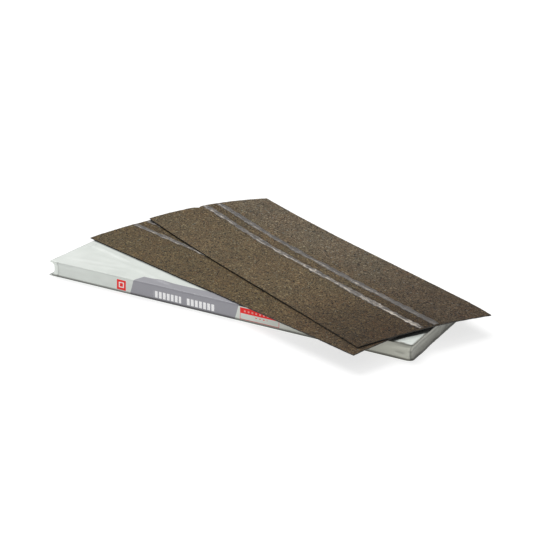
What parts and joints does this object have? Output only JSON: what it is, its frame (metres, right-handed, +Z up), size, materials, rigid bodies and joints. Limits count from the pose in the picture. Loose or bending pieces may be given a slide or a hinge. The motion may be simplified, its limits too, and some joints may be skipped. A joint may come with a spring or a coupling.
{
  "type": "asphalt shingle bundle",
  "caption": "Flat film-wrapped bundle of asphalt shingles, with perforated granule-faced starter sheets lying fanned out loose on top, each with bands of sealant",
  "frame": {"origin": "centre of the wrapped bundle's underside", "axes": "+X along the bundle's length, +Y across its width, +Z up"},
  "size_m": [1.1303, 0.856, 0.0706],
  "materials": {
    "film": "white polyethylene film with a soft sheen and fine wrinkles",
    "granules": "matte mineral granules pressed into asphalt, brown with lighter and darker specks",
    "sealant": "glossy asphalt sealant with a pale grey shine"
  },
  "bodies": {
    "root": {"wrapper": "film", "wrapped_shingles": "granules", "lower_shingle": "granules", "lower_sealant": "sealant", "upper_shingle": "granules", "upper_sealant": "sealant"}
  },
  "joints": []
}
